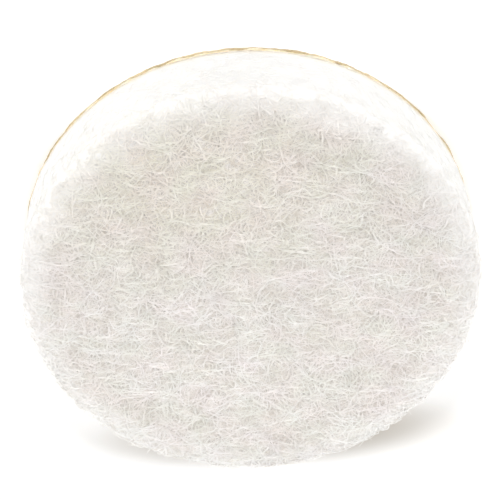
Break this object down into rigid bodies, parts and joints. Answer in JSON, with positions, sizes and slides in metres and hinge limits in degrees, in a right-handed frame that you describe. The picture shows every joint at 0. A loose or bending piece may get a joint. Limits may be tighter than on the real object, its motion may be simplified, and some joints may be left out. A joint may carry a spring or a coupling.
{
  "type": "felt furniture pad",
  "caption": "Thick round felt pad with a self-adhesive back, stuck under a furniture leg to protect the floor; its release liner is still on.",
  "frame": {"origin": "centre of the release liner's outer face, which the pad lies on", "axes": "+Z along the disc's axis, out of the felt face; X and Y lie in the disc and are interchangeable"},
  "size_m": [0.025, 0.025, 0.0051],
  "materials": {
    "white_felt": "matte",
    "amber_adhesive": "satin",
    "kraft_release_paper": "satin"
  },
  "bodies": {
    "root": {"felt_disc": "white_felt", "adhesive_layer": "amber_adhesive", "release_liner": "kraft_release_paper"}
  },
  "joints": []
}
